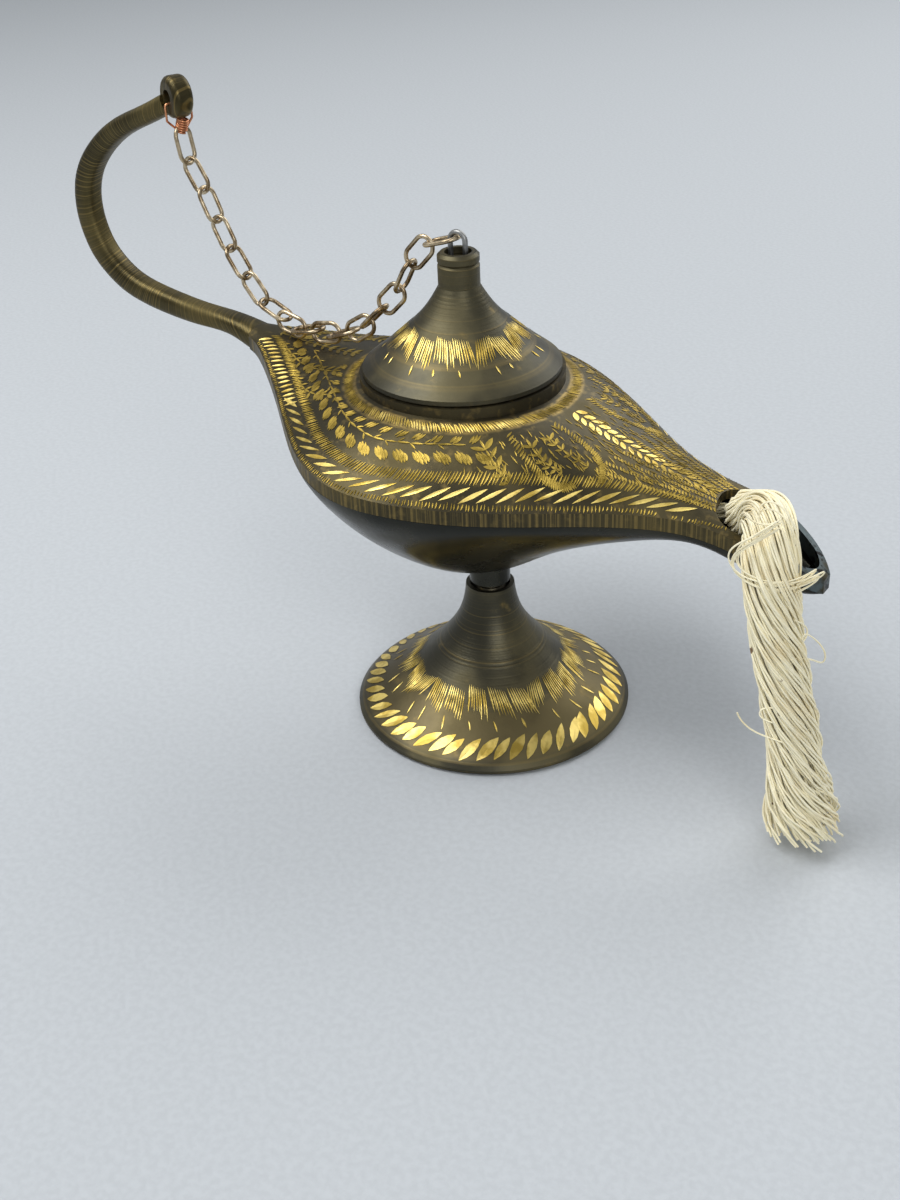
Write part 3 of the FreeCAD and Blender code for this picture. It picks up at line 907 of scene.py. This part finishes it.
        self.vine(cuts, ((15.5, 11.8), (20.5, 14.5), (22.6, 12.6)), 1.4, 1.9)
        self.band(cuts, ((17.2, 5.6), (27.5, 5.0), (28.2, 10.4)), 1.3, 0.42)
        for level in (0.22, 0.42, 0.62, 0.82):
            start = (28.6 - 2.2 * level, 10.8 * level)
            self.band(cuts, (start, (37.0, 6.6 * level), (46.5, 4.6 * level)), 0.8, 0.62)
        for at in range(self.fern_pairs):
            x, reach = 17.6 + at * 1.45, 1.5 - 0.045 * at
            self.both(rim if at < self.bright_pairs else cuts, (x, 0.25), (x + 1.5, reach + 0.25),
                      0.95 - 0.02 * at, 0.1)
        for points, pitch, leaf in (
                (((-24.6, 7.6), (-32.0, 10.0), (-41.0, 3.0)), 1.9, 2.2),
                (((-20.5, 14.5), (-25.5, 17.0), (-33.0, 10.0)), 1.9, 2.0),
                (((17.4, 8.8), (20.5, 10.0), (25.4, 9.4)), 1.5, 1.7)):
            self.vine(cuts, points, pitch, leaf)
        self.vine(cuts, ((-26.2, 0.0), (-34.0, 0.0), (-44.0, 0.0)), 1.9, 2.2, False)
        self.fill(cuts, start=10.0, end=45.0, count=300, inset=6.0)
        cuts.cut("deck_cuts", worn, "lamp")
        # These hold the bright rim rows and ferns, and the ring's front arc as a painted glint.
        rim.cut("deck_rim_cuts", bright, "lamp")


@dataclass
class Wick:
    """The cotton wick: its hanging part, its drawn-in part and the threads that have come loose."""

    diameter: float = 8.0
    inner_diameter: float = 3.8
    yarns: int = 62
    inner_yarns: int = 8
    turns: float = -1.25
    yarn_turns: float = -5.0
    thread: float = 0.2
    ragged: float = 18.0
    loosens_from: float = 0.62
    ply_spread: float = 1.12
    end_spread: float = 1.3
    fuzz: float = 0.0006
    end_fuzz: float = 0.0026
    route: tuple[Spot, ...] = (
        (46.9, 0.5, 50.9), (50.6, -0.6, 51.9), (53.6, -3.8, 54.7), (55.9, -8.0, 54.4), (57.5, -11.1, 50.4),
        (58.6, -11.6, 44.6), (60.0, -11.2, 36.9), (61.7, -10.9, 28.6), (63.4, -10.1, 20.3), (64.6, -9.9, 12.5),
        (65.8, -9.2, 5.6), (66.1, -9.1, 2.2))
    inner_route: tuple[Spot, ...] = (
        (46.9, 0.5, 50.9), (44.2, 1.3, 50.17), (37.0, 0.6, 50.0), (27.0, -0.4, 48.6), (18.0, 0.6, 44.0),
        (9.5, 4.0, 39.2), (2.0, 8.5, 38.4))
    loose: tuple[tuple[Spot, int, tuple[Spot, ...]], ...] = (
        ((56.9, -9.9, 53.0), 6, (
            (0.5, 2.0, 4.6), (-2.5, 3.8, 4.0), (-5.2, 3.0, 2.0), (-6.4, 2.0, -0.5), (-5.6, 2.6, -2.8),
            (-3.0, 4.5, -3.8), (0.0, 5.1, -4.2), (3.5, 4.5, -4.1), (6.5, 2.6, -3.7), (7.8, 1.4, -4.0),
            (6.2, 2.8, -4.8), (3.4, 4.6, -4.7))),
        ((56.4, -9.0, 55.0), 2, (
            (-2.6, 1.6, 3.4), (-2.8, 1.2, 4.9), (-1.2, 1.4, 5.6), (0.8, 2.2, 5.0), (2.8, 3.4, 2.8), (4.0, 3.6, -1.0),
            (4.6, 3.0, -5.0), (4.4, 2.8, -9.0))),
        ((56.4, -9.0, 55.0), 1, ((0.0, 3.4, 3.6), (-1.6, 3.8, 2.8), (-3.6, 3.2, 3.2), (-4.6, 2.6, 4.6))),
        ((59.0, -11.5, 42.0), 1, (
            (2.5, 2.5, 1.0), (4.8, 1.5, -0.5), (5.2, 1.2, -2.4), (3.6, 2.6, -3.2), (3.8, 2.6, -1.0), (6.0, 1.6, -3.0),
            (8.4, 1.0, -6.0), (8.0, 1.0, -8.2), (6.0, 1.5, -6.8), (4.0, 2.4, -5.8), (2.4, 3.0, -5.4))),
        ((62.2, -10.6, 26.0), 1, (
            (-2.2, 2.5, 1.5), (-4.4, 1.8, 1.8), (-5.4, 1.6, 0.4), (-4.2, 2.2, -0.8), (-2.2, 3.0, -0.9))),
        ((62.8, -10.4, 23.0), 1, (
            (-1.8, 3.0, -1.2), (-5.0, 2.0, -0.8), (-7.0, 1.4, 0.4), (-8.4, 1.0, 2.2), (-9.0, 1.0, 3.4))),
    )

    def centre_line(self, points: Sequence[Sequence[float]], name: str) -> bpy.types.Mesh:
        """Read a route's smooth line.

        Args:
            points: the route's points in millimetres.
            name: the name of the line.

        Returns:
            A mesh of points joined in order.
        """
        curve = bpy.data.curves.new(name, "CURVE")
        curve.dimensions = "3D"
        curve.resolution_u = 24
        spline = curve.splines.new("NURBS")
        spline.points.add(len(points) - 1)
        for target, point in zip(spline.points, points):
            target.co = (*(v * MM for v in point), 1)
        spline.order_u = 3
        spline.use_endpoint_u = True
        holder = show(name, curve)
        graph = bpy.context.evaluated_depsgraph_get()
        mesh = bpy.data.meshes.new_from_object(holder.evaluated_get(graph))
        bpy.data.objects.remove(holder)
        return mesh

    def strands(self, name: str, line: bpy.types.Mesh, finish: Material, yarns: int, radius: float,
                turns: float, flare: float, steps: int) -> bpy.types.Object:
        """Lay twisted yarns of three threads round a line.

        Args:
            name: the piece's name.
            line: the centre line.
            finish: the yarn's finish.
            yarns: how many yarns.
            radius: the bundle's radius in millimetres.
            turns: how often the bundle turns over its length.
            flare: how much wider the far end is.
            steps: points along each thread.

        Returns:
            The finished piece.
        """
        t = Builder(name + "_tree", {
            "Yarns": ("count", yarns), "Bundle radius": ("length", (radius - 2 * self.thread) * MM),
            "Thread radius": ("length", self.thread * MM), "Turns": ("length", turns),
            "Yarn turns": ("length", self.yarn_turns), "Flare": ("length", flare), "Steps": ("count", steps),
            "Ragged end": ("length", self.ragged * MM), "Finish": ("finish", finish)})
        curve = t.node("GeometryNodeMeshToCurve", None, {"Mesh": t.given["Geometry"]}).outputs[0]
        curve = t.node("GeometryNodeResampleCurve", {"mode": "COUNT"},
                       {"Curve": curve, "Count": t.given["Steps"]}).outputs[0]
        copies = t.node("GeometryNodeDuplicateElements", {"domain": "SPLINE"},
                        {"Geometry": curve, "Amount": t.size("Yarns") * 3.0})
        index = t.num(copies.outputs[1])
        yarn = (index / 3.0).math("FLOOR", index / 3.0)
        ply = index - yarn * 3.0
        share = t.num(t.node("GeometryNodeSplineParameter").outputs["Factor"])
        normal = t.node("GeometryNodeInputNormal").outputs[0]
        side = t.vector("CROSS_PRODUCT", t.node("GeometryNodeInputTangent").outputs[0], normal)
        big = yarn * GOLDEN_ANGLE + share * TURN * t.size("Turns")
        small = ply * (TURN / 3) + yarn * 1.7 + share * TURN * t.size("Yarn turns")
        loose = share.between(self.loosens_from, 1.0)
        ends = (share * 1.0).between(0.0, 0.02) * 0.35 + 0.65
        out = t.size("Bundle radius") * ((yarn + 0.5) / t.size("Yarns")) ** 0.5
        out = out * (1.0 + t.size("Flare") * loose * loose) * ends
        tuft = t.size("Thread radius") * self.ply_spread * (1.0 + self.end_spread * t.size("Flare") * loose)
        pairs = ((out, big), (tuft, small))
        place = None
        for reach, angle in pairs:
            level = t.vector("SCALE", normal, reach * angle.math("COSINE", angle))
            across = t.vector("SCALE", side, reach * angle.math("SINE", angle))
            both = t.vector("ADD", level, across)
            place = both if place is None else t.vector("ADD", place, both)
        spot = t.node("GeometryNodeInputPosition").outputs[0]
        apart = t.node("ShaderNodeCombineXYZ", None, {0: index * 0.37, 1: index * 0.11}).outputs[0]
        fuzz = t.node("ShaderNodeTexNoise", None,
                      {"Vector": t.vector("ADD", spot, apart), "Scale": 150.0, "Detail": 2.0}).outputs[1]
        fuzz = t.vector("SUBTRACT", fuzz, (0.5, 0.5, 0.5))
        place = t.vector("ADD", place, t.vector("SCALE", fuzz, loose * t.size("Flare") * self.end_fuzz + self.fuzz))
        uneven = t.node("ShaderNodeTexNoise", None, {"Vector": apart, "Scale": 7.3}).outputs[0]
        back = (t.num(uneven) - 0.62) * loose * loose * loose * t.size("Flare") * t.size("Ragged end")
        along = t.node("GeometryNodeInputTangent").outputs[0]
        place = t.vector("ADD", place, t.vector("SCALE", along, back))
        threads = t.node("GeometryNodeSetPosition", None, {"Geometry": copies.outputs[0], "Offset": place}).outputs[0]
        t.close(t.tube(threads, 5, "Thread radius"))
        piece = t.run(name, line, True)
        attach(piece, "lamp")
        return piece

    def loose_lines(self) -> list[list[Vector]]:
        """Draw the threads that have come loose.

        Returns:
            Each thread's points in metres.
        """
        hand = random.Random(29)
        right, front = Vector((0.828, 0.559, 0)), Vector((0.58, -0.815, 0))
        lines = []
        for (x, y, z), copies, points in self.loose:
            for _ in range(copies):
                spread = hand.uniform(0.84, 1.12) if copies > 1 else 1.0
                lift = hand.uniform(-1.0, 1.1) if copies > 1 else 0.0
                lines.append([
                    (Vector((x, y, z)) + right * (r * spread + hand.uniform(-0.2, 0.2)) + front * f
                     + Vector((0, 0, rise + lift + hand.uniform(-0.2, 0.2)))) * MM for r, f, rise in points])
        return lines

    def loose_threads(self, finish: Material) -> bpy.types.Object:
        """Make the loose threads as thin tubes.

        Args:
            finish: the yarn's finish.

        Returns:
            The finished piece.
        """
        points, edges = [], []
        for line in self.loose_lines():
            edges += [(len(points) + i, len(points) + i + 1) for i in range(len(line) - 1)]
            points += [tuple(p) for p in line]
        start = bpy.data.meshes.new("wick_threads")
        start.from_pydata(points, edges, [])
        t = Builder("wick_threads_tree", {"Thread radius": ("length", 0.14 * MM), "Steps": ("count", 90),
                                           "Finish": ("finish", finish)})
        curve = t.node("GeometryNodeMeshToCurve", None, {"Mesh": t.given["Geometry"]}).outputs[0]
        curve = t.node("GeometryNodeCurveSplineType", {"spline_type": "NURBS"}, {"Curve": curve}).outputs[0]
        curve = t.node("GeometryNodeResampleCurve", {"mode": "COUNT"},
                       {"Curve": curve, "Count": t.given["Steps"]}).outputs[0]
        t.close(t.tube(curve, 6, "Thread radius"))
        piece = t.run("wick_threads", start, True)
        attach(piece, "lamp")
        return piece

    def build(self, finish: Material) -> None:
        """Make every part of the wick.

        Args:
            finish: the yarn's finish.
        """
        line = self.centre_line(self.route, "wick_route")
        cord = self.strands("wick_strands", line, finish, self.yarns, self.diameter * 0.56, self.turns, 0.5, 100)
        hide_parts("wick")
        threads = self.loose_threads(finish)
        inner_line = self.centre_line(self.inner_route, "wick_inside_route")
        inner = self.strands("wick_inside_strands", inner_line, finish, self.inner_yarns,
                             self.inner_diameter / 2, self.turns, 0.0, 90)
        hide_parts("wick_inside")


@dataclass
class CopperTie:
    """Copper wire wound round the top of the first link."""

    centre: Spot = (-62.7, 0.0, 99.0)
    turns: float = 5.5
    radius: float = 0.95
    wire: float = 0.2
    height: float = 2.4
    lean: float = 0.35

    def build(self, finish: Material) -> None:
        """Make the coil.

        Args:
            finish: the wire's finish.
        """
        t = Builder("tie_coil_tree", {
            "Turns": ("length", self.turns), "Coil radius": ("length", self.radius * MM),
            "Height": ("length", self.height * MM), "Wire radius": ("length", self.wire * MM),
            "Centre": ("place", tuple(v * MM for v in self.centre)), "Lean": ("place", (0.0, self.lean, 0.0)),
            "Finish": ("finish", finish)})
        coil = t.node("GeometryNodeCurveSpiral", None,
                      {"Resolution": 20, "Rotations": t.given["Turns"], "Start Radius": t.given["Coil radius"],
                       "End Radius": t.given["Coil radius"], "Height": t.given["Height"]}).outputs[0]
        t.close(t.node("GeometryNodeTransform", None,
                       {"Geometry": t.tube(coil, 8, "Wire radius"), "Translation": t.given["Centre"],
                        "Rotation": t.given["Lean"]}).outputs[0])
        piece = t.run("tie_coil", bpy.data.meshes.new("tie_coil"), True)
        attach(piece, "lamp")
        log.info("tie coil: %.1f turns", self.turns)


@dataclass
class Studio:
    """Floor, soft light and camera."""

    floor_size: float = 40.0
    world_level: float = 0.4
    world_colour: Colour = (0.93, 0.97, 1.0)
    lights: tuple[tuple[str, Spot, float, float], ...] = (
        ("key", (-0.35, -0.25, 0.75), 0.55, 5.2), ("fill", (0.6, -0.5, 0.45), 0.4, 1.9),
        ("back", (0.1, 0.7, 0.6), 0.7, 3.6))
    aim: Spot = (0, 0, 0.05)
    camera_place: Spot = (0.12998793, -0.19561693, 0.16455910)
    camera_turn: Spot = (58.58115, 2.30826, 34.01802)
    lens: float = 45.0

    def floor(self, finish: Material) -> None:
        """Lay the floor.

        Args:
            finish: the floor's finish.
        """
        half = self.floor_size / 2
        mesh = bpy.data.meshes.new("floor")
        mesh.from_pydata([(-half, -half, 0), (half, -half, 0), (half, half, 0), (-half, half, 0)], [], [(0, 1, 2, 3)])
        mesh.materials.append(finish)
        show("floor", mesh)

    def lamp(self, name: str, place: Spot, size: float, power: float) -> None:
        """Hang one soft light that faces the lamp.

        Args:
            name: the light's name.
            place: where it hangs, in metres.
            size: the side of its square.
            power: its power in watts.
        """
        light = bpy.data.lights.new(name, "AREA")
        light.size = size
        light.energy = power
        thing = show(name, light)
        thing.location = place
        thing.rotation_euler = (Vector(self.aim) - Vector(place)).to_track_quat("-Z", "Y").to_euler()

    def world(self) -> None:
        """Light the scene evenly from all round."""
        world = bpy.data.worlds.new("studio")
        world.use_nodes = True
        back = world.node_tree.nodes["Background"]
        back.inputs["Color"].default_value = (*self.world_colour, 1)
        back.inputs["Strength"].default_value = self.world_level
        bpy.context.scene.world = world

    def camera(self) -> None:
        """Set the camera at the photograph's place."""
        data = bpy.data.cameras.new("camera")
        data.lens = self.lens
        data.sensor_width = 36
        data.clip_start = 0.005
        thing = show("camera", data)
        thing.location = self.camera_place
        thing.rotation_euler = tuple(math.radians(a) for a in self.camera_turn)
        bpy.context.scene.camera = thing

    def build(self, finish: Material) -> None:
        """Set up the whole studio.

        Args:
            finish: the floor's finish.
        """
        self.floor(finish)
        self.world()
        for light in self.lights:
            self.lamp(*light)
        self.camera()
        bpy.context.scene.view_settings.view_transform = "Standard"
        log.info("studio ready")


def dress_node(node: str, finish: Material) -> None:
    """Give a CAD node its finish.

    Args:
        node: the node's name.
        finish: the finish.
    """
    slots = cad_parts[node].material_slots
    if not slots:
        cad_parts[node].data.materials.append(finish)
    for slot in slots:
        slot.material = finish


def main() -> None:
    """Dress the lamp and set up the studio."""
    finishes = {
        "foot": AgedBrass("turned_brass", Marks.TURNED),
        "lid": AgedBrass("turned_lid_brass", Marks.TURNED, axis_x=LID_AXIS),
        "joining_stud": AgedBrass("stud_brass", Marks.SMOOTH, dark=(0.05, 0.045, 0.036)),
        "bowl": AgedBrass("bowl_brass", Marks.SMOOTH, dark=(0.027, 0.028, 0.024),
                          warm=(0.052, 0.05, 0.038), rubbed=(0.08, 0.074, 0.052), roughness=0.2,
                          rubbed_from=0.78),
        "deck": AgedBrass("engraved_brass", Marks.ENGRAVED, dark=(0.055, 0.047, 0.028), warm=(0.11, 0.089, 0.042),
                          roughness=0.38),
        "handle": AgedBrass("filed_brass", Marks.FILED, dark=(0.052, 0.043, 0.02), warm=(0.115, 0.092, 0.038)),
    }
    for node, finish in finishes.items():
        dress_node(node, finish.build())
        log.info("%s: %s", node, finish.name)
    chain_finish = DrawnWire("chain_wire", (0.58, 0.475, 0.32), (0.23, 0.165, 0.095), 0.2).build()
    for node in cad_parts:
        if node.startswith("chain_link"):
            dress_node(node, chain_finish)
    dress_node("lid_staple", DrawnWire("steel_wire", (0.33, 0.33, 0.32), (0.13, 0.13, 0.13)).build())
    copper = DrawnWire("copper_wire", (0.85, 0.4, 0.2), (0.5, 0.2, 0.1), 0.25).build()
    dress_node("tie_wire", copper)
    gold = GoldCut().build()
    TurnedPiece("foot", "lamp", 0.0, 24, 8, 12.9, 17.0, 1.0, 20.3, 0.29, leaves=50, leaf_inner=20.5,
                leaf_outer=24.2, leaf_width=1.9).engrave(gold)
    TurnedPiece("lid", "lid", LID_AXIS, 18, 8, 8.4, 11.9, 0.9, 14.0, 0.27, seed=7).engrave(gold)
    DeckEngraving().engrave(gold, GoldCut("worn_cut", (0.47, 0.335, 0.07), (0.22, 0.155, 0.03), 0.4).build())
    CopperTie().build(copper)
    Wick().build(Cotton().build())
    Studio().build(PaleCloth().build())


if __name__ == "__main__":
    logging.basicConfig(level=logging.INFO, format="%(name)s %(message)s")
    main()
